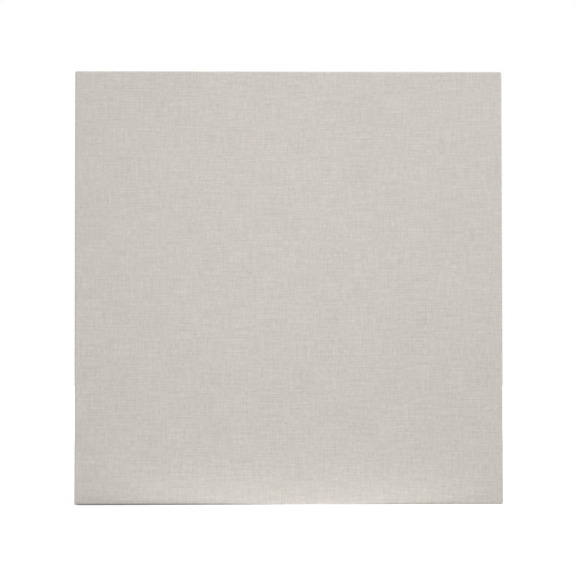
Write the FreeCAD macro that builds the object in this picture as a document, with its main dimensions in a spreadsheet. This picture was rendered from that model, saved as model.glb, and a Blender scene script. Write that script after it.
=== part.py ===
import FreeCAD, Part

import os

import Sketcher

# A square-format artist's canvas: primed linen stretched over four keyed pine bars.
#
# Row frame: X runs left to right, Y from front to back, Z up, in millimetres. The origin is at
# the bottom centre of the whole object, which stands on its lower edge.
#
# Every piece is drawn lying on its back and then stood up. In that drawing frame X runs along
# the piece, Y inwards across the frame's plane, and Z from the back plane to the front.

os.makedirs("parts", exist_ok=True)
doc = FreeCAD.newDocument("stretched_canvas")

# ---------------------------------------------------------------------------------------------
# Driving dimensions
# ---------------------------------------------------------------------------------------------

SIZES = (
    ("canvas_width", 602, "over the cloth, left to right"),
    ("canvas_height", 610, "over the cloth, bottom to top"),
    ("cloth_thick", 0.6, "primed linen"),
    ("cloth_gap", 0.1, "air between the cloth and the wood"),
    ("hem_width", 26, "cloth turned onto the back"),
    ("corner_round", 3.2, "cloth's four corners, seen from the front"),
    ("front_round", 3, "cloth where it turns from the front to the sides"),
    ("back_round", 2.2, "cloth where it turns from the sides to the back"),
    ("fold_thick", 1.2, "two more layers of cloth folded in at each back corner"),
    ("fold_width", 38, "folded cloth, along the edge"),
    ("fold_inset", 4, "folded cloth, in from the outer edge"),
    ("bar_width", 44, "stretcher bar, seen from the front"),
    ("bar_depth", 35, "stretcher bar, front to back"),
    ("lip_width", 7, "raised lip that carries the cloth"),
    ("bevel_fall", 4, "fall of the bar's front from the lip to the inner edge"),
    ("inner_round", 1.5, "broken edges on the bar's inner side"),
    ("tongue_thick", 6, "each of the two tongue layers"),
    ("tongue_short", 1, "tongue's end, in from the mating bar's outer face"),
    ("joint_clear", 0.05, "on each face of the corner joints"),
    ("tip_trim", 3.5, "blunted outer corner of the frame"),
    ("slot_gap_inner", 13, "keyway at the bar's inner edge"),
    ("slot_gap_outer", 5, "keyway at the bar's outer edge"),
    ("key_thick", 5.4, "wooden key"),
    ("key_inserted", 25, "key inside its keyway"),
    ("key_proud", 20, "key standing out of its keyway"),
    ("key_clear", 0.15, "key's straight and sloping edges"),
    ("key_round", 1.5, "key's broken corners"),
    ("crown_length", 12.7, "staple's crown"),
    ("leg_length", 10, "staple's legs"),
    ("wire_width", 1.2, "staple wire, across"),
    ("wire_thick", 0.6, "staple wire, through"),
    ("wire_bend", 0.5, "outside of the staple's bends"),
    ("row_count", 11, "staples in a row"),
    ("row_end", 71, "middle of the first staple, from the corner of the frame"),
    ("row_inset", 12.3, "staples, in from the wood's outer face"),
    ("corner_first", 24, "middle of the first corner staple, from the corner of the frame"),
    ("corner_step", 17, "from the first corner staple to the second"),
)

sheet = doc.addObject("Spreadsheet::Sheet", "Sizes")
for row, (alias, size, meaning) in enumerate(SIZES, start=1):
    sheet.set(f"A{row}", str(size))
    sheet.setAlias(f"A{row}", alias)
    sheet.set(f"B{row}", meaning)
doc.recompute()

# Sizes worked out from the driving ones, as expressions that name the sheet's cells
SKIN = "(Sizes.cloth_thick + Sizes.cloth_gap)"
FRAME_WIDTH = f"(Sizes.canvas_width - 2 * {SKIN})"
FRAME_HEIGHT = f"(Sizes.canvas_height - 2 * {SKIN})"
CHEEK = "(Sizes.bar_depth / 2 - Sizes.tongue_thick)"
BACK_LAYER = (CHEEK, "Sizes.bar_depth / 2")
FRONT_LAYER = ("Sizes.bar_depth / 2", f"(Sizes.bar_depth - {CHEEK})")
SLOPE = "((Sizes.slot_gap_inner - Sizes.slot_gap_outer) / Sizes.bar_width)"
BEHIND_WOOD = f"({SKIN} + Sizes.fold_thick + Sizes.wire_thick)"
OVERALL_DEPTH = f"({SKIN} + Sizes.bar_depth + {BEHIND_WOOD})"
WOOD_BACK = f"({OVERALL_DEPTH} / 2 - {BEHIND_WOOD})"


def value(expression):
    """What an expression comes to, with the sheet's present numbers."""
    return sheet.evalExpression(expression)


# ---------------------------------------------------------------------------------------------
# Sketches and features
# ---------------------------------------------------------------------------------------------

def origin_feature(body, role):
    for feature in body.Origin.OriginFeatures:
        if feature.Role == role:
            return feature
    raise ValueError(role)


def draw_polygon(sketch, corners):
    """Add a closed outline, with both coordinates of each corner bound to an expression."""
    first = sketch.GeometryCount
    spots = [FreeCAD.Vector(value(x), value(y), 0) for x, y in corners]
    for here, there in zip(spots, spots[1:] + spots[:1]):
        sketch.addGeometry(Part.LineSegment(here, there), False)
    for i in range(len(corners)):
        following = first + (i + 1) % len(corners)
        sketch.addConstraint(Sketcher.Constraint("Coincident", first + i, 2, following, 1))
    for i, (x, y) in enumerate(corners, start=first):
        for kind, axis, size in (("DistanceX", -2, x), ("DistanceY", -1, y)):
            if value(size) == 0:
                sketch.addConstraint(Sketcher.Constraint("PointOnObject", i, 1, axis))
            else:
                datum = Sketcher.Constraint(kind, -1, 1, i, 1, value(size))
                number = sketch.addConstraint(datum)
                sketch.setExpression(f"Constraints[{number}]", size)


def new_sketch(body, name, outlines, plane="XY_Plane", level="0"):
    """A sketch of closed outlines on one of the body's planes, raised to a level."""
    sketch = body.newObject("Sketcher::SketchObject", name)
    sketch.AttachmentSupport = [(origin_feature(body, plane), "")]
    sketch.MapMode = "FlatFace"
    sketch.setExpression("AttachmentOffset.Base.z", level)
    for corners in outlines:
        draw_polygon(sketch, corners)
    doc.recompute()
    return sketch


def pad(body, name, sketch, length, side="One side", reverse=False):
    feature = body.newObject("PartDesign::Pad", name)
    feature.Profile = sketch
    feature.SideType = side
    feature.Reversed = reverse
    feature.setExpression("Length", length)
    doc.recompute()
    return feature


def cut_layer(body, name, corners, layer):
    """Cut an outline out of the body between two levels, and see that it removed something."""
    low, high = layer
    before = body.Shape.Volume
    sketch = new_sketch(body, name + "_outline", [corners], level=high)
    feature = body.newObject("PartDesign::Pocket", name)
    feature.Profile = sketch
    feature.setExpression("Length", f"{high} - ({low})")
    doc.recompute()
    if not body.Shape.Volume < before - 1:
        raise RuntimeError(f"{body.Label}: {name} cuts nothing")


def round_edges(body, name, chosen, radius):
    """Round every edge of the body's last feature for which chosen(edge) is true."""
    base = body.Tip
    names = [f"Edge{i}" for i, edge in enumerate(base.Shape.Edges, start=1) if chosen(edge)]
    feature = body.newObject("PartDesign::Fillet", name)
    feature.Base = (base, names)
    feature.setExpression("Radius", radius)
    doc.recompute()


def near(a, b):
    return abs(a - b) < 1e-4


def is_level(edge, z):
    """True for an edge that lies wholly in the plane at z."""
    box = edge.BoundBox
    return near(box.ZMin, z) and near(box.ZMax, z)


def runs_along_x(edge, y, z):
    """True for an edge parallel to X that passes through the point y, z."""
    box = edge.BoundBox
    return is_level(edge, z) and near(box.YMin, y) and near(box.YMax, y)


def rectangle(low_x, low_y, high_x, high_y):
    return [(low_x, low_y), (high_x, low_y), (high_x, high_y), (low_x, high_y)]


# ---------------------------------------------------------------------------------------------
# Standing the pieces up
# ---------------------------------------------------------------------------------------------

def stand(x, z, quarter_turns):
    """Stand a piece up with its drawing origin at x, z on the wood's back plane, turned
    anticlockwise, seen from the front, by a number of quarter turns."""
    upright = FreeCAD.Rotation(FreeCAD.Vector(1, 0, 0), 90)
    turned = FreeCAD.Rotation(FreeCAD.Vector(0, -1, 0), 90 * quarter_turns)
    place = FreeCAD.Vector(value(x), value(WOOD_BACK), value(z))
    return FreeCAD.Placement(place, turned.multiply(upright))


def within(placement, x, y, z, rotation=FreeCAD.Rotation()):
    """A placement inside another one, at a point given by three expressions."""
    shift = FreeCAD.Vector(value(x), value(y), value(z))
    return placement.multiply(FreeCAD.Placement(shift, rotation))


# Each bar starts at one corner of the frame and runs anticlockwise, seen from the front.
LEFT = f"-{FRAME_WIDTH} / 2"
RIGHT = f"{FRAME_WIDTH} / 2"
LOW = SKIN
HIGH = f"({SKIN} + {FRAME_HEIGHT})"
BARS = {
    # side: (length, placement, corner at its start, corner at its end)
    "bottom": (FRAME_WIDTH, stand(LEFT, LOW, 0), "bottom_left", "bottom_right"),
    "right": (FRAME_HEIGHT, stand(RIGHT, LOW, 1), "bottom_right", "top_right"),
    "top": (FRAME_WIDTH, stand(RIGHT, HIGH, 2), "top_right", "top_left"),
    "left": (FRAME_HEIGHT, stand(LEFT, HIGH, 3), "top_left", "bottom_left"),
}

subparts = []


# ---------------------------------------------------------------------------------------------
# Canvas
# ---------------------------------------------------------------------------------------------

def rounded_block(label, inset):
    """A block with the cloth's outline and its rounded edges, all moved inwards by inset."""
    body = doc.addObject("PartDesign::Body", label)
    outline = rectangle(
        inset, inset, f"Sizes.canvas_width - {inset}", f"Sizes.canvas_height - {inset}"
    )
    sketch = new_sketch(body, label + "_outline", [outline], level=inset)
    depth = f"2 * {SKIN} + Sizes.bar_depth - 2 * {inset}"
    pad(body, label + "_pad", sketch, depth)
    low = value(inset)
    high = low + value(depth)
    round_edges(
        body, label + "_corners", lambda edge: near(edge.BoundBox.ZLength, high - low),
        f"Sizes.corner_round - {inset}",
    )
    round_edges(
        body, label + "_front", lambda edge: is_level(edge, high), f"Sizes.front_round - {inset}"
    )
    round_edges(
        body, label + "_back", lambda edge: is_level(edge, low), f"Sizes.back_round - {inset}"
    )
    return body


def corner_fold(flip_x, flip_y):
    """Outline of the cloth folded flat over one back corner: both its ends run at 45 degrees."""
    near_end = "Sizes.fold_inset"
    far_end = "(Sizes.fold_inset + Sizes.fold_width)"
    corners = [
        (near_end, "Sizes.fold_inset"),
        (far_end, "Sizes.fold_inset"),
        ("(Sizes.hem_width + Sizes.fold_width)", "Sizes.hem_width"),
        ("Sizes.hem_width", "Sizes.hem_width"),
    ]
    if flip_x:
        corners = [(f"Sizes.canvas_width - {x}", y) for x, y in corners]
    if flip_y:
        corners = [(x, f"Sizes.canvas_height - {y}") for x, y in corners]
    return corners


def make_canvas():
    """The cloth as one closed skin over the front, the four sides and the hem on the back."""
    outside = rounded_block("canvas_outside", "0")
    folds = [corner_fold(flip_x, flip_y) for flip_x in (False, True) for flip_y in (False, True)]
    sketch = new_sketch(outside, "corner_fold_outlines", folds)
    pad(outside, "corner_folds", sketch, "Sizes.fold_thick", reverse=True)
    hollow = rounded_block("canvas_hollow", "Sizes.cloth_thick")

    window = doc.addObject("Part::Box", "canvas_back_window")
    window.setExpression("Length", "Sizes.canvas_width - 2 * Sizes.hem_width")
    window.setExpression("Width", "Sizes.canvas_height - 2 * Sizes.hem_width")
    window.setExpression("Height", "Sizes.bar_depth / 2")
    window.setExpression("Placement.Base.x", "Sizes.hem_width")
    window.setExpression("Placement.Base.y", "Sizes.hem_width")
    window.setExpression("Placement.Base.z", "-Sizes.bar_depth / 4")

    skin = doc.addObject("Part::Cut", "canvas_skin")
    skin.Base = outside
    skin.Tool = hollow
    canvas = doc.addObject("Part::Cut", "canvas")
    canvas.Base = skin
    canvas.Tool = window
    canvas.Label = "canvas"
    canvas.Placement = within(BARS["bottom"][1], f"-{SKIN}", f"-{SKIN}", f"-{SKIN}")
    subparts.append(canvas)


# ---------------------------------------------------------------------------------------------
# Stretcher bars
# ---------------------------------------------------------------------------------------------

def cut_joint(body, length, end):
    """Shape one end of a bar: two mitred cheeks, a tongue and a keyed slot.

    The start of each bar has its tongue in the front layer and its slot in the back layer, and
    the end has them the other way round, so that each corner's two bars fit one another.
    """
    def along(distance):
        return distance if end == "start" else f"{length} - ({distance})"

    def cut(name, corners, layer):
        cut_layer(body, f"{body.Label}_{end}_{name}", [(along(x), y) for x, y in corners], layer)

    width = "Sizes.bar_width"
    clear = "Sizes.joint_clear"
    slot_layer, tongue_layer = BACK_LAYER, FRONT_LAYER
    if end == "end":
        slot_layer, tongue_layer = FRONT_LAYER, BACK_LAYER
    mitre = [("0", "0"), (clear, "0"), (f"{width} + {clear}", width), ("0", width)]
    slot = [
        ("0", "0"),
        (f"{width} + Sizes.slot_gap_outer", "0"),
        (f"{width} + Sizes.slot_gap_inner", width),
        ("0", width),
    ]
    tip = [("0", "0"), ("Sizes.tip_trim", "0"), ("0", "Sizes.tip_trim")]
    cut("back_cheek", mitre, ("0", f"({CHEEK} + {clear})"))
    cut("front_cheek", mitre, (f"(Sizes.bar_depth - {CHEEK} - {clear})", "Sizes.bar_depth"))
    cut("slot", slot, (f"({slot_layer[0]} - {clear})", f"({slot_layer[1]} + {clear})"))
    cut("tongue_end", rectangle("0", "0", "Sizes.tongue_short", width), tongue_layer)
    cut("tip", tip, ("0", "Sizes.bar_depth"))


def make_bar(side):
    length, placement, _, _ = BARS[side]
    body = doc.addObject("PartDesign::Body", f"stretcher_{side}")
    section = [
        ("0", "0"),
        ("Sizes.bar_width", "0"),
        ("Sizes.bar_width", "Sizes.bar_depth - Sizes.bevel_fall"),
        ("Sizes.lip_width", "Sizes.bar_depth"),
        ("0", "Sizes.bar_depth"),
    ]
    sketch = new_sketch(body, f"{side}_section", [section], plane="YZ_Plane")
    pad(body, f"{side}_length", sketch, length)

    width = value("Sizes.bar_width")
    depth = value("Sizes.bar_depth")
    inner_edge = depth - value("Sizes.bevel_fall")
    round_edges(
        body, f"{side}_lip", lambda edge: runs_along_x(edge, 0, depth),
        f"Sizes.front_round - {SKIN}",
    )
    round_edges(
        body, f"{side}_back_edge", lambda edge: runs_along_x(edge, 0, 0),
        f"Sizes.back_round - {SKIN}",
    )
    round_edges(
        body, f"{side}_inner_edges",
        lambda edge: runs_along_x(edge, width, 0) or runs_along_x(edge, width, inner_edge),
        "Sizes.inner_round",
    )
    for end in ("start", "end"):
        cut_joint(body, length, end)
    body.Placement = placement
    subparts.append(body)


# ---------------------------------------------------------------------------------------------
# Corner keys
# ---------------------------------------------------------------------------------------------

def make_key(side, end):
    """A wedge in one bar's keyway, straight along the mating tongue and sloping on the other
    edge. Its drawing origin is at its thin end, on the mating tongue's inner edge."""
    length, placement, start_corner, end_corner = BARS[side]
    corner = start_corner if end == "start" else end_corner
    body = doc.addObject("PartDesign::Body", f"key_{corner}_in_{side}_bar")
    thin = f"Sizes.slot_gap_inner - {SLOPE} * Sizes.key_inserted - Sizes.key_clear"
    thick = f"Sizes.slot_gap_inner + {SLOPE} * Sizes.key_proud - Sizes.key_clear"
    full_length = "Sizes.key_inserted + Sizes.key_proud"
    wedge = [
        ("Sizes.key_clear", "0"), (thin, "0"), (thick, full_length),
        ("Sizes.key_clear", full_length),
    ]
    sketch = new_sketch(body, body.Label + "_wedge", [wedge])
    pad(body, body.Label + "_pad", sketch, "Sizes.key_thick", side="Symmetric")
    round_edges(
        body, body.Label + "_corners",
        lambda edge: near(edge.BoundBox.ZLength, value("Sizes.key_thick")), "Sizes.key_round",
    )

    inwards = "Sizes.bar_width - Sizes.key_inserted"
    if end == "start":
        middle = f"({BACK_LAYER[0]} + {BACK_LAYER[1]}) / 2"
        body.Placement = within(placement, "Sizes.bar_width", inwards, middle)
    else:
        middle = f"({FRONT_LAYER[0]} + {FRONT_LAYER[1]}) / 2"
        turned_over = FreeCAD.Rotation(FreeCAD.Vector(0, 1, 0), 180)
        far = f"{length} - Sizes.bar_width"
        body.Placement = within(placement, far, inwards, middle, turned_over)
    subparts.append(body)


# ---------------------------------------------------------------------------------------------
# Staples
# ---------------------------------------------------------------------------------------------

def make_staples(label, count, span, placement):
    """A row of wire staples. Its drawing origin is at the back of the first staple's crown, and
    the legs point forwards into the wood."""
    body = doc.addObject("PartDesign::Body", label)
    wire = "Sizes.wire_thick"
    crown = "Sizes.crown_length"
    reach = f"Sizes.leg_length + {wire}"
    staple = [
        ("0", "0"), (crown, "0"), (crown, reach), (f"{crown} - {wire}", reach),
        (f"{crown} - {wire}", wire), (wire, wire), (wire, reach), ("0", reach),
    ]
    sketch = new_sketch(body, f"{label}_outline", [staple], plane="XZ_Plane")
    wire_pad = pad(body, f"{label}_wire", sketch, "Sizes.wire_width", side="Symmetric")
    width = value("Sizes.wire_width")
    round_edges(
        body, f"{label}_bends",
        lambda edge: near(edge.BoundBox.YLength, width) and is_level(edge, 0),
        "Sizes.wire_bend",
    )
    bends = body.Tip
    pattern = body.newObject("PartDesign::LinearPattern", f"{label}_row")
    pattern.Originals = [wire_pad, bends]
    pattern.Direction = (origin_feature(body, "X_Axis"), [""])
    pattern.setExpression("Length", span)
    pattern.setExpression("Occurrences", count)
    body.Tip = pattern
    doc.recompute()
    if len(body.Shape.Solids) != value(count):
        raise RuntimeError(f"{label}: {len(body.Shape.Solids)} staples")
    body.Placement = placement
    subparts.append(body)


def make_row(side):
    length, placement, _, _ = BARS[side]
    place = within(
        placement, "Sizes.row_end - Sizes.crown_length / 2", "Sizes.row_inset",
        f"-{SKIN} - Sizes.wire_thick",
    )
    make_staples(f"staples_{side}", "Sizes.row_count", f"{length} - 2 * Sizes.row_end", place)


def make_corner_staples(side, end):
    length, placement, start_corner, end_corner = BARS[side]
    corner = start_corner if end == "start" else end_corner
    first = "(Sizes.corner_first - Sizes.crown_length / 2)"
    if end == "end":
        first = f"({length} - {first} - Sizes.crown_length - Sizes.corner_step)"
    place = within(placement, first, "Sizes.row_inset", f"-{BEHIND_WOOD}")
    make_staples(f"staples_corner_{corner}", "2", "Sizes.corner_step", place)


# ---------------------------------------------------------------------------------------------
# The whole object
# ---------------------------------------------------------------------------------------------

make_canvas()
for side in BARS:
    make_bar(side)
for side in BARS:
    for end in ("start", "end"):
        make_key(side, end)
for side in BARS:
    make_row(side)
for side in ("bottom", "top"):
    for end in ("start", "end"):
        make_corner_staples(side, end)
doc.recompute()

for item in doc.Objects:
    if "Invalid" in item.State or "Error" in item.State:
        raise RuntimeError(f"{item.Name} failed: {item.State}")
for subpart in subparts:
    if subpart.Shape.isNull() or not subpart.Shape.isValid():
        raise RuntimeError(f"{subpart.Label} has no valid shape")
for subpart in subparts:
    subpart.Shape.exportStep(f"parts/{subpart.Label}.step")
    box = subpart.Shape.BoundBox
    print(
        f"{subpart.Label}: {len(subpart.Shape.Solids)} solid(s), "
        f"{subpart.Shape.Volume / 1000:.2f} cm3, "
        f"x {box.XMin:.2f} to {box.XMax:.2f}, y {box.YMin:.2f} to {box.YMax:.2f}, "
        f"z {box.ZMin:.2f} to {box.ZMax:.2f}"
    )
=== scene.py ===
import math

import bpy
import numpy as np
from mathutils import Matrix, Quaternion, Vector


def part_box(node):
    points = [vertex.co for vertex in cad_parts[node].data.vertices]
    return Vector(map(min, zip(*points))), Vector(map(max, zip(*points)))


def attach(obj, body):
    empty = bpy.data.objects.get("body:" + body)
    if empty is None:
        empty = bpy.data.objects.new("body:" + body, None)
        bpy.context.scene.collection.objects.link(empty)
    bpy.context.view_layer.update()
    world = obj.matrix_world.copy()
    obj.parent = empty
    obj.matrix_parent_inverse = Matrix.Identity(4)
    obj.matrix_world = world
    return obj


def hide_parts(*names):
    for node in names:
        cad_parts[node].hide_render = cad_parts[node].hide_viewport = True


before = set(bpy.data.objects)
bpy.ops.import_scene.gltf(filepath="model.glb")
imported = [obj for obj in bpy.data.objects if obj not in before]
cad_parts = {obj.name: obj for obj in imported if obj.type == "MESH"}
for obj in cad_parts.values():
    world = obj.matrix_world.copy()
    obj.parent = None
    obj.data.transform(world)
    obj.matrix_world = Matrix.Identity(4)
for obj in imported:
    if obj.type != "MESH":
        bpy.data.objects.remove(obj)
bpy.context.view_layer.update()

# The stretched canvas, in metres: X to the right, Y from the painting face to the back, Z up.
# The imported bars, keys and staples stay as they are and get materials. The cloth is made here:
# one mesh that wraps the front, the sides and the hem, with its folds at the back corners.

SIDES = ("bottom", "right", "top", "left")
BARS = [f"stretcher_{side}" for side in SIDES]
KEYS = [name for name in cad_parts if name.startswith("key_")]
STAPLES = [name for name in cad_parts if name.startswith("staples_")]

canvas_low, canvas_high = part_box("canvas")
WIDTH = canvas_high.x - canvas_low.x
HEIGHT = canvas_high.z - canvas_low.z
WOOD_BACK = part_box("stretcher_top")[1].y
CLOTH_BUILD_UP = 0.0007  # from the wood to the outside of the cloth
FRONT_Y = canvas_low.y
BACK_Y = WOOD_BACK + CLOTH_BUILD_UP
FOLD_RISE = canvas_high.y - BACK_Y  # how far the folded corners stand above the plain hem

CLOTH_THICK = 0.0005
CORNER_ROUND = 0.0032  # the four corners, seen from the front
FRONT_ROUND = 0.0021  # where the cloth turns from the front to the sides
BACK_ROUND = 0.0022  # where it turns from the sides to the back
LEAST_ROUND = 0.0003  # the sharpest a corner of the outline gets when it's moved inwards
HEM = 0.026  # cloth turned onto the back
FOLD_WIDTH = 0.038  # folded cloth at a back corner, along the edge
STAPLE_INSET = 0.013  # middle of the staple rows, from the cloth's outer edge
STAPLE_CROWN = 0.0127
STAPLES_IN_ROW = 11


def smoothstep(low, high, x):
    ramp = np.clip((x - low) / (high - low), 0, 1)
    return ramp * ramp * (3 - 2 * ramp)


# ---------------------------------------------------------------------------------------------
# Camera
# ---------------------------------------------------------------------------------------------

CAMERA_PLACE = (-0.0502, -2.5509, 0.2363)
CAMERA_YAW = -0.01926
CAMERA_PITCH = 0.02669
CAMERA_ROLL = -0.00084
LENS = 112.5  # mm, on a sensor 36 mm wide
SENSOR_WIDTH = 36


def make_camera():
    """A long lens a little left of the middle and below it, looking slightly up."""
    data = bpy.data.cameras.new("camera")
    data.sensor_width = SENSOR_WIDTH
    data.lens = LENS
    data.clip_start = 0.05
    data.clip_end = 50
    camera = bpy.data.objects.new("camera", data)
    bpy.context.scene.collection.objects.link(camera)
    camera.location = CAMERA_PLACE
    level_part = math.cos(CAMERA_PITCH)
    ahead = Vector((
        -math.sin(CAMERA_YAW) * level_part,
        math.cos(CAMERA_YAW) * level_part,
        math.sin(CAMERA_PITCH),
    ))
    camera.rotation_mode = "QUATERNION"
    roll = Quaternion((0, 0, 1), CAMERA_ROLL)
    camera.rotation_quaternion = ahead.to_track_quat("-Z", "Y") @ roll
    bpy.context.scene.camera = camera


# ---------------------------------------------------------------------------------------------
# Material nodes
# ---------------------------------------------------------------------------------------------

class Nodes:
    """Adds nodes to a tree. An input given as a socket is linked, and any other is set."""

    def __init__(self, tree):
        self.tree = tree

    def set(self, node, inputs):
        for key, given in inputs.items():
            if isinstance(given, bpy.types.NodeSocket):
                self.tree.links.new(given, node.inputs[key])
            else:
                node.inputs[key].default_value = given

    def add(self, kind, inputs=None, **settings):
        node = self.tree.nodes.new("ShaderNode" + kind)
        for key, given in settings.items():
            setattr(node, key, given)
        self.set(node, inputs or {})
        return node

    def math(self, operation, a, b=0.0):
        return self.add("Math", {0: a, 1: b}, operation=operation).outputs[0]

    def scaled(self, vector, scale, offset=(0, 0, 0)):
        inputs = {"Vector": vector, "Location": offset, "Scale": scale}
        return self.add("Mapping", inputs).outputs[0]

    def noise(self, vector, detail=2.0, roughness=0.5, output="Fac"):
        inputs = {"Vector": vector, "Scale": 1.0, "Detail": detail, "Roughness": roughness}
        return self.add("TexNoise", inputs).outputs[output]

    def wandering(self, place, pattern, amount):
        """Places that stray from their own, by up to about half the amount either way."""
        middle = (0.5, 0.5, 0.5)
        inputs = {0: self.noise(pattern, output="Color"), 1: middle}
        centred = self.add("VectorMath", inputs, operation="SUBTRACT").outputs[0]
        inputs = {0: place, 1: self.tint(centred, amount)}
        return self.add("VectorMath", inputs, operation="ADD").outputs[0]

    def swing(self, value, amount):
        """A factor about 1 that follows a 0 to 1 value, by plus or minus half the amount."""
        centred = self.math("SUBTRACT", value, 0.5)
        return self.math("ADD", self.math("MULTIPLY", centred, amount), 1.0)

    def mapped(self, value, given, wanted, smooth=False):
        """A value moved from one range to another, and clamped to it."""
        inputs = {
            "Value": value,
            "From Min": given[0], "From Max": given[1], "To Min": wanted[0], "To Max": wanted[1],
        }
        kind = "SMOOTHSTEP" if smooth else "LINEAR"
        return self.add("MapRange", inputs, interpolation_type=kind).outputs[0]

    def colour(self, rgb):
        output = self.add("RGB").outputs[0]
        output.default_value = (*rgb, 1)
        return output

    def tint(self, colour, factor):
        """A colour times a factor."""
        inputs = {0: colour, "Scale": factor}
        return self.add("VectorMath", inputs, operation="SCALE").outputs[0]

    def ramp(self, value, stops):
        node = self.add("ValToRGB", {"Fac": value})
        elements = node.color_ramp.elements
        while len(elements) < len(stops):
            elements.new(0.5)
        for element, (place, colour) in zip(elements, stops):
            element.position = place
            element.color = (*colour, 1)
        return node.outputs["Color"]

    def bump(self, height, distance, strength=1.0):
        inputs = {"Height": height, "Distance": distance, "Strength": strength}
        return self.add("Bump", inputs).outputs[0]


def new_material(name):
    material = bpy.data.materials.new(name)
    material.use_nodes = True
    nodes = Nodes(material.node_tree)
    return material, nodes, material.node_tree.nodes["Principled BSDF"]


# ---------------------------------------------------------------------------------------------
# Linen
# ---------------------------------------------------------------------------------------------

THREAD_PITCH = 0.00085
THREAD_WANDER = (110, 110, 1)  # repeats per metre of the way that threads stray
MOTTLE = (14, 14, 1)  # and of the cloudiness of ground and flax
GROUND_COLOUR = (0.603, 0.570, 0.531)
FLAX_DARK = (0.27, 0.20, 0.125)
FLAX_MIDDLE = (0.385, 0.30, 0.20)
FLAX_LIGHT = (0.50, 0.41, 0.29)

# Visible threads of the cloth: width and length of the thick and thin places, then how much
# the warp, which runs upwards, and the weft each count.
LONG_SLUBS = (0.0021, 0.042, 0.17, 0.23)
SHORT_SLUBS = (0.0018, 0.0085, 0.24, 0.26)


def linen_threads(nodes):
    """Warp and weft of a slubby plain weave, from the cloth's own flat coordinates.

    Gives those coordinates, a brightness that varies about 0.5 with the thick and thin places
    of the threads, and the fine over-and-under relief, from 0 to 1.
    """
    flat = nodes.add("Attribute", attribute_name="flat").outputs["Vector"]
    streaks = 0.5
    for index, (width, length, warp_share, weft_share) in enumerate((LONG_SLUBS, SHORT_SLUBS)):
        warp_scale, weft_scale = (1 / width, 1 / length, 1), (1 / length, 1 / width, 1)
        warp = nodes.noise(nodes.scaled(flat, warp_scale, (3.7, 1.3, 7 * index)), 1 + index)
        weft = nodes.noise(nodes.scaled(flat, weft_scale, (8.1, 5.9, 4 + index)), 1 + index)
        for threads, share in ((warp, warp_share), (weft, weft_share)):
            centred = nodes.math("SUBTRACT", threads, 0.5)
            streaks = nodes.math("ADD", streaks, nodes.math("MULTIPLY", centred, share))

    bent = nodes.wandering(flat, nodes.scaled(flat, THREAD_WANDER, (1, 2, 3)), 0.0022)
    split = nodes.add("SeparateXYZ", {0: bent}).outputs
    waves = [
        nodes.math("SINE", nodes.math("MULTIPLY", split[axis], math.pi / THREAD_PITCH))
        for axis in ("X", "Y")
    ]
    weave = nodes.math("ABSOLUTE", nodes.math("MULTIPLY", *waves))
    return flat, streaks, weave


def primed_linen():
    """Matt warm-white ground on linen: the threads show through it softly."""
    material, nodes, shader = new_material("primed_linen")
    flat, streaks, weave = linen_threads(nodes)
    mottle = nodes.noise(nodes.scaled(flat, MOTTLE), 2)
    shade = nodes.math("ADD", streaks, 0.5)
    shade = nodes.math("MULTIPLY", shade, nodes.swing(mottle, 0.05))
    slubs_height = nodes.math("MULTIPLY", streaks, 2)
    height = nodes.math("ADD", slubs_height, nodes.math("MULTIPLY", weave, 0.6))
    nodes.set(shader, {
        "Base Color": nodes.tint(nodes.colour(GROUND_COLOUR), shade),
        "Roughness": 0.82,
        "IOR": 1.45,
        "Sheen Weight": 0.06,
        "Sheen Roughness": 0.5,
        "Normal": nodes.bump(height, 0.00012, 0.8),
    })
    return material


def raw_linen():
    """Bare flax, seen on the back of the cloth and at its cut edges."""
    material, nodes, shader = new_material("raw_linen")
    flat, streaks, weave = linen_threads(nodes)
    contrast = nodes.mapped(streaks, (0.36, 0.64), (0, 1))
    flax = nodes.ramp(contrast, [(0.0, FLAX_DARK), (0.5, FLAX_MIDDLE), (1.0, FLAX_LIGHT)])
    mottle = nodes.noise(nodes.scaled(flat, MOTTLE, (2, 7, 3)), 3)
    # the mottle is the flax's own colour; the weave's relief darkens the grooves between threads as
    # painted shade
    shade = nodes.math("MULTIPLY", nodes.swing(mottle, 0.25), nodes.swing(weave, 0.22))
    height = nodes.math("ADD", weave, streaks)
    nodes.set(shader, {
        "Base Color": nodes.tint(flax, shade),
        "Roughness": 0.93,
        "IOR": 1.4,
        "Sheen Weight": 0.12,
        "Sheen Roughness": 0.6,
        "Normal": nodes.bump(height, 0.0003, 1.0),
    })
    return material


# ---------------------------------------------------------------------------------------------
# Wood and wire
# ---------------------------------------------------------------------------------------------

# Repeats per metre along the grain and across it
RING_WANDER = (2.2, 9)
RING_STRENGTH = (1.2, 110)
FIBRES = (14, 1500)
PORES = (90, 2600)
PATCHES = (3, 14)

WAVE_REPEAT = math.pi / 10  # a wave texture's own distance between two crests
PINE_LIGHT = (0.70, 0.515, 0.30)
PINE_DARK = (0.47, 0.27, 0.115)
PINE_RING = 0.0036
BEECH_LIGHT = (0.62, 0.43, 0.255)
BEECH_DARK = (0.45, 0.275, 0.14)
BEECH_RING = 0.0017


def between(a, b, share):
    return [(1 - share) * x + share * y for x, y in zip(a, b)]


class Grain:
    """Places in solid wood whose growth rings lie round a line along one axis.

    heart is where that line is, and offset moves the wood along it, so that two pieces differ.
    """

    def __init__(self, nodes, axis, heart, offset):
        self.nodes = nodes
        self.axis = axis
        centre = [-x for x in heart]
        centre["XYZ".index(axis)] += offset
        self.place = nodes.scaled(nodes.add("TexCoord").outputs["Object"], (1, 1, 1), centre)

    def stretched(self, repeats, shift):
        """The places scaled for a noise, which gets those repeats along and across the grain."""
        along, across = repeats
        scale = [across, across, across]
        scale["XYZ".index(self.axis)] = along
        return self.nodes.scaled(self.place, scale, (shift, shift, shift))


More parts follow.
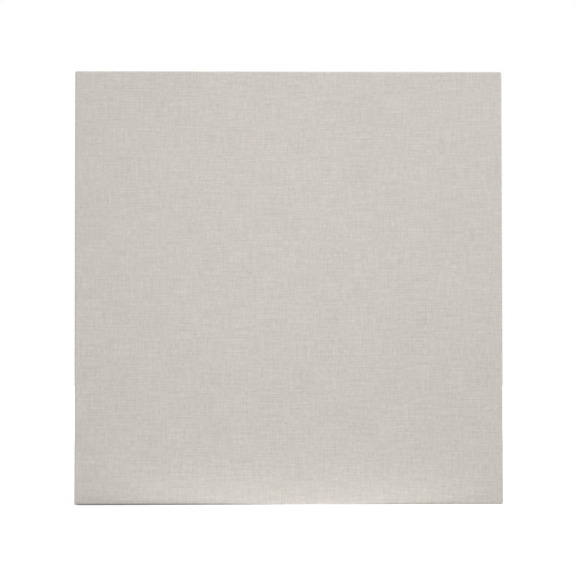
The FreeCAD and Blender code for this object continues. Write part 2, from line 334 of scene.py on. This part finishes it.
def growth_rings(nodes, grain, ring, warp):
    """From 0 to 1 across each year: ring is a year's width, and warp how far the rings wander."""
    inputs = {
        "Vector": nodes.wandering(grain.place, grain.stretched(RING_WANDER, 0), warp),
        "Scale": WAVE_REPEAT / ring,
        "Distortion": 1.6,
        "Detail": 2.0,
        "Detail Scale": 0.25,
    }
    settings = {"wave_type": "RINGS", "rings_direction": grain.axis, "wave_profile": "SAW"}
    return nodes.add("TexWave", inputs, **settings).outputs["Fac"]


def year_colour(nodes, grain, rings, light, dark):
    """Light early wood that darkens to the year's end, in some places hardly at all."""
    year = nodes.ramp(rings, [
        (0.0, light),
        (0.5, light),
        (0.80, between(light, dark, 0.4)),
        (0.93, dark),
        (1.0, light),
    ])
    varied = nodes.noise(grain.stretched(RING_STRENGTH, 5), 1)
    strength = nodes.mapped(varied, (0.3, 0.7), (0.15, 1))
    inputs = {"Factor": strength, "A": (*between(light, dark, 0.2), 1), "B": year}
    return nodes.add("Mix", inputs, data_type="RGBA").outputs["Result"]


def wood(name, axis, heart, ring, light, dark, warp=0.012, offset=0.0):
    """Planed wood: its long faces show streaks, and its sawn ends show rings."""
    material, nodes, shader = new_material(name)
    grain = Grain(nodes, axis, heart, offset)
    rings = growth_rings(nodes, grain, ring, warp)
    fibres = nodes.noise(grain.stretched(FIBRES, 3), 3, 0.65)
    pores = nodes.noise(grain.stretched(PORES, 7), 1)
    patches = nodes.noise(grain.stretched(PATCHES, 11), 2)
    shade = nodes.math("MULTIPLY", nodes.swing(fibres, 0.38), nodes.swing(patches, 0.30))
    shade = nodes.math("MULTIPLY", shade, nodes.swing(pores, 0.12))
    relief = nodes.math("ADD", fibres, nodes.math("MULTIPLY", rings, 0.08))
    nodes.set(shader, {
        "Base Color": nodes.tint(year_colour(nodes, grain, rings, light, dark), shade),
        "Roughness": nodes.mapped(fibres, (0, 1), (0.55, 0.78)),
        "IOR": 1.46,
        "Normal": nodes.bump(relief, 0.00015, 0.7),
    })
    return material


def staple_wire():
    """Flattened galvanised wire, a little dull and scuffed."""
    material, nodes, shader = new_material("staple_wire")
    place = nodes.add("TexCoord").outputs["Object"]
    scuffs = nodes.noise(nodes.scaled(place, (900, 2500, 900)), 3, 0.6)
    spangle = nodes.noise(nodes.scaled(place, (220, 220, 220), (5, 1, 2)), 2)
    nodes.set(shader, {
        "Base Color": nodes.ramp(spangle, [(0.3, (0.42, 0.43, 0.45)), (0.7, (0.66, 0.67, 0.69))]),
        "Metallic": 1.0,
        "Roughness": nodes.mapped(scuffs, (0, 1), (0.25, 0.5)),
        "Normal": nodes.bump(scuffs, 0.00004, 0.5),
    })
    return material


# ---------------------------------------------------------------------------------------------
# Cloth: its outline and its section
# ---------------------------------------------------------------------------------------------

# How finely the cloth is divided
ARC_STEPS = 8  # round each corner of the outline
FRONT_TURN_POINTS = 8
SIDE_POINTS = 21
BACK_TURN_POINTS = 7
HEM_POINTS = 17
CREASE_REACH = 0.0018  # closest stations, for the crease at a corner
FOLD_REACH = 0.047  # close stations, for the folds
FOLD_STEP = 0.0018
PLAIN_STEP = 0.0075


def stations(length):
    """Places along a straight side, from 0 to 1: finer near its ends, where the folds are."""
    crease = [0, *np.geomspace(0.00015, CREASE_REACH, 5)]
    fold = np.arange(CREASE_REACH + FOLD_STEP, FOLD_REACH, FOLD_STEP)
    near = np.concatenate([crease, fold])
    start = 0.052
    plain = np.linspace(start, length - start, round((length - 2 * start) / PLAIN_STEP))
    return np.concatenate([near, plain, length - near[::-1]]) / length


class Outline:
    """The cloth's outline seen from the front, and its nodes: those of each straight side and
    of the rounded corner after it, anticlockwise from the bottom left."""

    def __init__(self):
        self.across = stations(WIDTH - 2 * CORNER_ROUND)
        self.upwards = stations(HEIGHT - 2 * CORNER_ROUND)
        side, place, turn = [], [], []
        for index, places in enumerate((self.across, self.upwards) * 2):
            side += [index] * (len(places) + ARC_STEPS - 1)
            place += [*places, *[1.0] * (ARC_STEPS - 1)]
            turn += [0.0] * len(places) + [k / ARC_STEPS for k in range(1, ARC_STEPS)]
        self.side = np.array(side)
        self.place = np.array(place)
        self.turn = np.array(turn)  # 0 on a side, then up to 1 round its corner
        self.count = len(side)
        self.lies = self.side % 2 == 0  # on the top or bottom, or round the corner after it
        angle = (self.side - 1 + self.turn) * math.pi / 2
        self.normal = np.stack([np.cos(angle), np.sin(angle)], 1)
        length = np.where(self.lies, WIDTH, HEIGHT) - 2 * CORNER_ROUND
        self.along = self.place * length
        self.from_corner = np.minimum(self.along, length - self.along)

    def at(self, inset):
        """X and Z of every node, with the outline moved inwards by that node's inset."""
        inset = np.broadcast_to(inset, self.count)
        rounding = np.maximum(CORNER_ROUND - inset, LEAST_ROUND)
        half_x = WIDTH / 2 - inset - rounding
        half_z = HEIGHT / 2 - inset - rounding
        swing = 2 * self.place - 1
        signs_x = np.choose(self.side, [swing, 1, -swing, -1])
        signs_z = np.choose(self.side, [-1, swing, 1, -swing])
        x = half_x * signs_x + rounding * self.normal[:, 0]
        z = half_z * signs_z + rounding * self.normal[:, 1] + HEIGHT / 2
        return np.stack([x, z], 1)


def cloth_section():
    """The cloth's section from the front round to its cut edge: for each point the inset from
    the outline, the depth, the outward direction, and the way gone so far."""
    points = []
    for angle in np.linspace(0, math.pi / 2, FRONT_TURN_POINTS):
        inset = FRONT_ROUND * (1 - math.sin(angle))
        depth = FRONT_Y + FRONT_ROUND * (1 - math.cos(angle))
        points.append((inset, depth, math.sin(angle), -math.cos(angle)))
    for depth in np.linspace(FRONT_Y + FRONT_ROUND, BACK_Y - BACK_ROUND, SIDE_POINTS + 2)[1:-1]:
        points.append((0, depth, 1, 0))
    for angle in np.linspace(0, math.pi / 2, BACK_TURN_POINTS):
        inset = BACK_ROUND * (1 - math.cos(angle))
        depth = BACK_Y - BACK_ROUND * (1 - math.sin(angle))
        points.append((inset, depth, math.cos(angle), math.sin(angle)))
    for inset in np.linspace(BACK_ROUND, HEM, HEM_POINTS + 1)[1:]:
        points.append((inset, BACK_Y, 0, 1))
    points = np.array(points)
    steps = np.hypot(np.diff(points[:, 0]), np.diff(points[:, 1]))
    return points, np.concatenate([[0], np.cumsum(steps)])


# ---------------------------------------------------------------------------------------------
# Cloth: creases, folds and the hem's waves
# ---------------------------------------------------------------------------------------------

CREASE_DEPTH = 0.0006
FOLD_LIFT = 0.00048  # the folded side above the cloth under it, along a line at 45 degrees
LOOSE_EDGE = 0.0008  # the cut edge, half way between two staples
HEM_BULGE = 0.00032  # the hem between the frame's edge and the staples
HELD_END = 0.006  # the hem lies flat at a corner, and is free this far from it
STRAIGHT_END = 0.012  # the cut edge is straight at a corner, and strays this far from it


def edge_wander(outline):
    """How far the hand-cut edge strays from a straight line, at each node of the outline.

    Each side strays in its own way, so at the corners, where two sides meet, neither does.
    """
    way = outline.along + 0.7 * outline.side
    wander = 0.0005 * np.sin(way / 0.017) + 0.00022 * np.sin(way / 0.0061 + 1)
    wander = wander + 0.00012 * np.sin(way / 0.0017 + 2)
    return wander * smoothstep(0, STRAIGHT_END, outline.from_corner)


def staple_gaps(outline):
    """0 at each staple of the row along a node's side, and 1 half way between two of them."""
    gaps = np.zeros(outline.count)
    for index, side in enumerate(SIDES):
        low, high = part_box(f"staples_{side}")
        span = max(high.x - low.x, high.z - low.z) - STAPLE_CROWN
        pitch = span / (STAPLES_IN_ROW - 1)
        length = (WIDTH if index % 2 == 0 else HEIGHT) - 2 * CORNER_ROUND
        first = (length - span) / 2
        on_side = outline.side == index
        turns = (outline.along[on_side] - first) / pitch
        inside = (turns > -0.5) & (turns < STAPLES_IN_ROW - 0.5)
        gaps[on_side] = np.where(inside, 0.5 - 0.5 * np.cos(2 * math.pi * turns), 0.6)
    return gaps


def corner_crease(outline, folded, from_edge, depth):
    """The line along each corner where the folded cloth meets the cloth it covers."""
    tucked = np.where(outline.lies, 1 - outline.turn, outline.turn)
    tucked = np.where(folded, np.exp(-from_edge / 0.00025), tucked)
    tucked = np.where(~outline.lies & (outline.turn == 0), 0, tucked)
    return -CREASE_DEPTH * tucked * smoothstep(0.002, 0.007, depth - FRONT_Y)


def side_lift(outline, folded, from_edge, depth, hem_share):
    """The thickness of the cloth folded under the top, behind a line at 45 degrees."""
    from_front = depth - FRONT_Y
    under = smoothstep(-0.0004, 0.0012, from_front - outline.from_corner)
    lift = FOLD_LIFT * under * folded * smoothstep(0.001, 0.016, from_front)
    pressed = outline.side == SIDES.index("bottom")  # it lies flat on the floor
    lift = np.where(pressed, 0, lift)
    return lift * (1 - np.exp(-from_edge / 0.0004)) * (1 - smoothstep(0, 0.3, hem_share))


def swelling(outline, inset, depth, hem_share):
    """How far each node of one ring stands out from the plain wrap.

    The top and bottom cloth is folded over the cloth from the sides, so there a crease runs
    along each corner and a thicker flap lies on the back.
    """
    folded = outline.lies & (outline.turn == 0)
    from_edge = np.where(folded, outline.from_corner, 0)
    lift = side_lift(outline, folded, from_edge, depth, hem_share)
    if hem_share == 0:
        return corner_crease(outline, folded, from_edge, depth) + lift

    fold_end = 1 - smoothstep(FOLD_WIDTH, FOLD_WIDTH + 0.005, outline.from_corner)
    rolled = 1 - np.exp(-from_edge / 0.0003)
    flap = FOLD_RISE * folded * rolled * fold_end * smoothstep(0.0008, 0.005, inset)
    gaps = staple_gaps(outline)
    loose = LOOSE_EDGE * gaps * smoothstep(STAPLE_INSET, HEM, inset)
    bulge = HEM_BULGE * gaps * math.sin(math.pi * min(1, inset / STAPLE_INSET))
    free = (1 - fold_end * folded) * smoothstep(0, HELD_END, outline.from_corner)
    return lift + flap + (loose + bulge) * free


# ---------------------------------------------------------------------------------------------
# Cloth: the mesh
# ---------------------------------------------------------------------------------------------

def new_piece(name, points, faces, flat, materials):
    """A mesh that carries the cloth's flat coordinates, for its weave."""
    mesh = bpy.data.meshes.new(name)
    mesh.from_pydata([tuple(p) for p in points], [], faces)
    attribute = mesh.attributes.new("flat", "FLOAT_VECTOR", "POINT")
    vectors = np.zeros((len(points), 3), np.float32)
    vectors[:, :2] = flat
    attribute.data.foreach_set("vector", vectors.ravel())
    for material in materials:
        mesh.materials.append(material)
    mesh.shade_smooth()
    mesh.update()
    piece = bpy.data.objects.new(name, mesh)
    bpy.context.scene.collection.objects.link(piece)
    return piece


def thicken(piece, thickness):
    """Give a skin its thickness inwards, with bare cloth on the inside and the cut edge."""
    solidify = piece.modifiers.new("thickness", "SOLIDIFY")
    solidify.thickness = thickness
    solidify.offset = -1
    solidify.material_offset = 1
    solidify.material_offset_rim = 1


def wrap_points(outline):
    """The rings of points from the turned front edge to the cut edge, and their flat places."""
    section, gone = cloth_section()
    wander = edge_wander(outline)
    flat_start = outline.at(FRONT_ROUND)
    points, flat = [], []
    for i, (inset, depth, out_in_plane, out_in_depth) in enumerate(section):
        hem_share = max(0, i + 1 - (len(section) - HEM_POINTS)) / HEM_POINTS
        plane = outline.at(inset + wander * hem_share)
        swell = swelling(outline, inset, depth, hem_share)
        moved = plane + outline.normal * (out_in_plane * swell)[:, None]
        points.append(np.stack([moved[:, 0], depth + out_in_depth * swell, moved[:, 1]], 1))
        across_or_up = outline.side[:, None] % 2 == [0, 1]
        flat.append(np.where(across_or_up, plane, flat_start) + outline.normal * gone[i])
    return points, flat


def wrap_faces(outline, ring_count):
    following = np.roll(np.arange(outline.count), -1)
    faces = []
    for i in range(ring_count - 1):
        near, far = i * outline.count, (i + 1) * outline.count
        for j in range(outline.count):
            faces.append((far + j, far + following[j], near + following[j], near + j))
    return faces


def grid_faces(start, columns, rows):
    """The faces of a grid of points that begins at one index, row after row."""
    faces = []
    for row in range(rows - 1):
        for column in range(columns - 1):
            a = start + row * columns + column
            faces.append((a, a + 1, a + 1 + columns, a + columns))
    return faces


def joining_faces(outline, grid_start, columns, rows):
    """The faces between the first ring and the grid's border, with a fan at each corner."""
    border = (
        [column for column in range(columns)],
        [row * columns + columns - 1 for row in range(rows)],
        [(rows - 1) * columns + column for column in reversed(range(columns))],
        [row * columns for row in reversed(range(rows))],
    )
    faces = []
    start = 0
    for line in border:
        for k in range(len(line) - 1):
            inner, outer = grid_start + line[k], start + k
            faces.append((outer, outer + 1, grid_start + line[k + 1], inner))
        corner = start + len(line) - 1
        for k in range(ARC_STEPS):
            after = (corner + k + 1) % outline.count
            faces.append((corner + k, after, grid_start + line[-1]))
        start = corner + ARC_STEPS
    return faces


def make_cloth(materials):
    outline = Outline()
    rings, flat = wrap_points(outline)
    # The face ends where the first ring's corners have their centres, so that each fan is round
    face_inset = max(CORNER_ROUND, FRONT_ROUND + LEAST_ROUND)
    inner_x = (2 * outline.across - 1) * (WIDTH / 2 - face_inset)
    inner_z = (2 * outline.upwards - 1) * (HEIGHT / 2 - face_inset)
    columns, rows = len(inner_x), len(inner_z)
    grid_x, grid_z = [part.ravel() for part in np.meshgrid(inner_x, inner_z + HEIGHT / 2)]
    grid = np.stack([grid_x, np.full(grid_x.size, FRONT_Y), grid_z], 1)
    grid_start = len(rings) * outline.count
    faces = wrap_faces(outline, len(rings))
    faces += grid_faces(grid_start, columns, rows)
    faces += joining_faces(outline, grid_start, columns, rows)

    every = np.concatenate([*rings, grid])
    every_flat = np.concatenate([*flat, np.stack([grid_x, grid_z], 1)])
    cloth = new_piece("canvas_cloth", every, faces, every_flat, materials)
    thicken(cloth, CLOTH_THICK)
    cloth.data.set_sharp_from_angle(angle=math.radians(50))
    return cloth


# ---------------------------------------------------------------------------------------------
# Cloth: the layers inside the folds
# ---------------------------------------------------------------------------------------------

LAYER_LEVELS = (0.00065, 0.00125)  # outer faces of the two inner layers, above the wood
LAYER_THICK = 0.00045
LAYER_START = 0.0035  # their outer edge, in from the outline
LAYER_ROWS = 26  # along the edge of the frame
LAYER_COLUMNS = 14  # in from it


def layer_points(right, top, layer, level):
    """One inner layer's points, in rows that run in from the edge, and their flat places."""
    sign_x = 1 if right else -1
    sign_z = 1 if top else -1
    cut_edge = HEM - 0.0006 - 0.0007 * layer
    points, flat = [], []
    for along in np.linspace(0.0015, FOLD_WIDTH - 0.002, LAYER_ROWS) - 0.0008 * layer:
        ragged = 0.0004 * math.sin(along / 0.0021 + layer + 2 * right + top)
        sag = 0.00012 * math.sin(along / 0.006 + layer)
        for inwards in np.linspace(LAYER_START, cut_edge + ragged, LAYER_COLUMNS):
            x = sign_x * (WIDTH / 2 - along - inwards)
            z = HEIGHT / 2 + sign_z * (HEIGHT / 2 - inwards)
            points.append((x, WOOD_BACK + level + sag, z))
            flat.append((x + 0.3 * layer, z + 0.2))
    return points, flat


def make_fold_layers(right, top, materials):
    """The two inner layers of cloth under the flap at one back corner."""
    points, flat, faces = [], [], []
    for layer, level in enumerate(LAYER_LEVELS):
        faces += grid_faces(len(points), LAYER_COLUMNS, LAYER_ROWS)
        more_points, more_flat = layer_points(right, top, layer, level)
        points += more_points
        flat += more_flat
    if right != top:
        faces = [quad[::-1] for quad in faces]
    corner = ("top" if top else "bottom") + ("_right" if right else "_left")
    layers = new_piece(f"canvas_fold_{corner}", points, faces, flat, materials)
    thicken(layers, LAYER_THICK)
    return layers


# ---------------------------------------------------------------------------------------------
# Cloth: loose threads
# ---------------------------------------------------------------------------------------------

INWARDS = {"bottom": (0, 0, 1), "right": (-1, 0, 0), "top": (0, 0, -1), "left": (1, 0, 0)}
THREADS_ON_SIDE = 150
THREAD_STEPS = 4
THREAD_SIDES = 3
THREAD_ROOT = HEM - 0.0012  # where each thread begins, inside the hem
THREAD_DEPTH = 0.00015  # and how far under the hem's face


def thread_points(rng, side):
    """One loose thread end: rings round a line that leaves the hem's edge, leans and rises."""
    inwards = np.array(INWARDS[side], float)
    outwards = np.array([0, 1.0, 0])
    sideways = np.cross(outwards, inwards)
    half = np.array([WIDTH / 2, 0, HEIGHT / 2])
    edge_length = 2 * (half @ np.abs(sideways) - HEM - 0.003)
    along = rng.uniform(-0.5, 0.5) * edge_length
    reach = rng.gamma(2.0, 0.0007) + 0.0006
    lean = rng.normal(0, 0.5)
    rise = rng.uniform(0.0, 0.5)
    radius = rng.uniform(0.00008, 0.00015)

    middle = np.array([0, BACK_Y - THREAD_DEPTH, HEIGHT / 2])
    root = middle - inwards * (half - THREAD_ROOT) + sideways * along
    points = []
    for share in np.linspace(0, 1, THREAD_STEPS + 1):
        spot = root + inwards * (reach + 0.0009) * share
        spot = spot + sideways * lean * reach * share ** 2 + outwards * rise * reach * share ** 1.5
        size = radius * (1 - 0.65 * share)
        for turn in np.arange(THREAD_SIDES) * 2 * math.pi / THREAD_SIDES:
            points.append(spot + (sideways * math.cos(turn) + outwards * math.sin(turn)) * size)
    return points


def thread_faces(start):
    """The sides and both ends of one thread whose points begin at an index."""
    faces = []
    for ring in range(start, start + THREAD_SIDES * THREAD_STEPS, THREAD_SIDES):
        for k in range(THREAD_SIDES):
            a, b = ring + k, ring + (k + 1) % THREAD_SIDES
            faces.append((a, b, b + THREAD_SIDES, a + THREAD_SIDES))
    root = range(start, start + THREAD_SIDES)
    tip = range(start + THREAD_SIDES * THREAD_STEPS, start + THREAD_SIDES * (THREAD_STEPS + 1))
    return faces + [tuple(reversed(root)), tuple(tip)]


def make_fray(material):
    """Loose thread ends along the cut edge of the hem."""
    rng = np.random.default_rng(24)
    points, faces = [], []
    for side in SIDES:
        for _ in range(THREADS_ON_SIDE):
            faces += thread_faces(len(points))
            points += thread_points(rng, side)
    flat = np.array(points)[:, [0, 2]] + (0.1, 0)
    return new_piece("hem_threads", points, faces, flat, [material])


# ---------------------------------------------------------------------------------------------
# Floor and light
# ---------------------------------------------------------------------------------------------

FLOOR_HALF = 6.0
FLOOR_LEVEL = -0.0001
FLOOR_WHITE = (0.72, 0.72, 0.72)
CONTACT_REACH = 0.009  # how far the painted contact shade spreads from the canvas's foot


def painted_contact_shading(nodes, place):
    """The floor's colour close to the canvas: painted shade at the left, and a little painted light
    at the right.
    """
    split = nodes.add("SeparateXYZ", {0: place}).outputs
    beyond = [
        nodes.math("MAXIMUM", nodes.math("SUBTRACT", nodes.math("ABSOLUTE", split[axis]), reach), 0.0)
        for axis, reach in (("X", WIDTH / 2 - CONTACT_REACH), ("Y", BACK_Y))
    ]
    away = nodes.math("SQRT", nodes.math("ADD", *[nodes.math("MULTIPLY", x, x) for x in beyond]))
    contact = nodes.mapped(away, (0, CONTACT_REACH), (1, 0), smooth=True)
    leftwards = nodes.mapped(split["X"], (-0.25, 0.03), (0.98, -0.3), smooth=True)
    return nodes.math("SUBTRACT", 1.0, nodes.math("MULTIPLY", contact, leftwards))


def floor_material():
    """White paper that glows to the camera, more so far away, to join the backdrop; its colour holds
    a painted contact shade near the canvas.
    """
    material, nodes, shader = new_material("floor")
    place = nodes.add("TexCoord").outputs["Object"]
    distance = nodes.add("VectorMath", {0: place}, operation="LENGTH").outputs["Value"]
    glow = nodes.mapped(distance, (1.0, 2.6), (0.4, 1.0), smooth=True)
    seen = nodes.add("LightPath").outputs["Is Camera Ray"]
    nodes.set(shader, {
        # painted shade and light: the floor's colour darkens at the canvas's left foot and lightens
        # at its right
        "Base Color": nodes.tint(nodes.colour(FLOOR_WHITE), painted_contact_shading(nodes, place)),
        "Roughness": 0.9,
        "Specular IOR Level": 0.0,
        "Emission Color": (1, 1, 1, 1),
        "Emission Strength": nodes.math("MULTIPLY", glow, seen),
    })
    return material


def make_floor():
    """A white sweep: it shows soft shadows near the canvas, partly cast by the lights and partly
    painted into its colour, and fades into the backdrop.
    """
    mesh = bpy.data.meshes.new("floor")
    signs = ((-1, -1), (1, -1), (1, 1), (-1, 1))
    corners = [(FLOOR_HALF * x, FLOOR_HALF * y, FLOOR_LEVEL) for x, y in signs]
    mesh.from_pydata(corners, [], [(0, 1, 2, 3)])
    mesh.materials.append(floor_material())
    floor = bpy.data.objects.new("floor", mesh)
    bpy.context.scene.collection.objects.link(floor)


def area_light(name, place, target, size, power):
    data = bpy.data.lights.new(name, "AREA")
    data.shape = "RECTANGLE"
    data.size, data.size_y = size
    data.energy = power
    light = bpy.data.objects.new(name, data)
    light.location = place
    light.rotation_euler = (Vector(target) - Vector(place)).to_track_quat("-Z", "Y").to_euler()
    light.visible_camera = False
    bpy.context.scene.collection.objects.link(light)
    return light


def make_room():
    """White surroundings: full white to the camera, and dimmer as a source of light."""
    world = bpy.data.worlds.new("studio")
    world.use_nodes = True
    nodes = Nodes(world.node_tree)
    seen = nodes.add("LightPath").outputs["Is Camera Ray"]
    strength = nodes.math("ADD", nodes.math("MULTIPLY", seen, 0.35), 0.65)
    background = world.node_tree.nodes["Background"]
    nodes.set(background, {"Color": (1, 1, 1, 1), "Strength": strength})
    bpy.context.scene.world = world
    bpy.context.scene.view_settings.view_transform = "Standard"


def make_lights():
    """Soft light from the front and above, some from behind, a pool low on the face, and a
    long bounce from the floor just in front of it."""
    middle = (0, 0, HEIGHT / 2)
    area_light("key", (1.6, -1.0, 2.2), middle, (0.9, 0.9), 22)
    area_light("over", (0.2, -0.6, 2.2), (0, 0, 0), (1.6, 1.2), 12)
    area_light("pool", (-0.05, -0.47, 0.36), (-0.05, 0, 0.36), (0.3, 0.4), 0.27)
    area_light("back", (-1.3, 2.2, 1.9), middle, (1.8, 1.4), 26)
    strip = (-0.003, FRONT_Y - 0.034, FLOOR_LEVEL / 2)
    bounce = area_light("bounce", strip, (strip[0], strip[1], 1), (0.55, 0.070), 0.0455)
    bounce.data.shape = "ELLIPSE"
    bounce.rotation_euler.z += math.radians(0.8)


# ---------------------------------------------------------------------------------------------
# The whole scene
# ---------------------------------------------------------------------------------------------

def dress(name, material):
    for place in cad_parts[name].material_slots:
        place.material = material


def grain_line(name):
    """The axis that a bar or key lies along, and its middle."""
    low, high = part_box(name)
    axis = "X" if high.x - low.x > high.z - low.z else "Z"
    return axis, [(a + b) / 2 for a, b in zip(low, high)]


def dress_bars():
    """Each bar is cut at another distance from the heart of its tree."""
    for index, name in enumerate(BARS):
        axis, heart = grain_line(name)
        heart[1] += 0.055 - 0.02 * index
        heart[2 if axis == "X" else 0] += 0.03 + 0.012 * index
        look = (PINE_RING, PINE_LIGHT, PINE_DARK)
        pine = wood(name.replace("stretcher", "pine"), axis, heart, *look, offset=1.7 * index)
        dress(name, pine)


def dress_keys():
    for index, name in enumerate(KEYS):
        axis, heart = grain_line(name)
        heart[1] += 0.02 + 0.003 * index
        look = (BEECH_RING, BEECH_LIGHT, BEECH_DARK, 0.004, 0.9 * index)
        dress(name, wood(name.replace("key", "beech"), axis, heart, *look))


def dress_staples():
    wire = staple_wire()
    for name in STAPLES:
        dress(name, wire)


make_camera()

linen = [primed_linen(), raw_linen()]
cloth = make_cloth(linen)
layers = [make_fold_layers(right, top, linen) for right in (False, True) for top in (False, True)]
fray = make_fray(linen[0])
for piece in [cloth, fray, *layers]:
    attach(piece, "frame")
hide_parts("canvas")

dress_bars()
dress_keys()
dress_staples()
make_floor()
make_room()
make_lights()
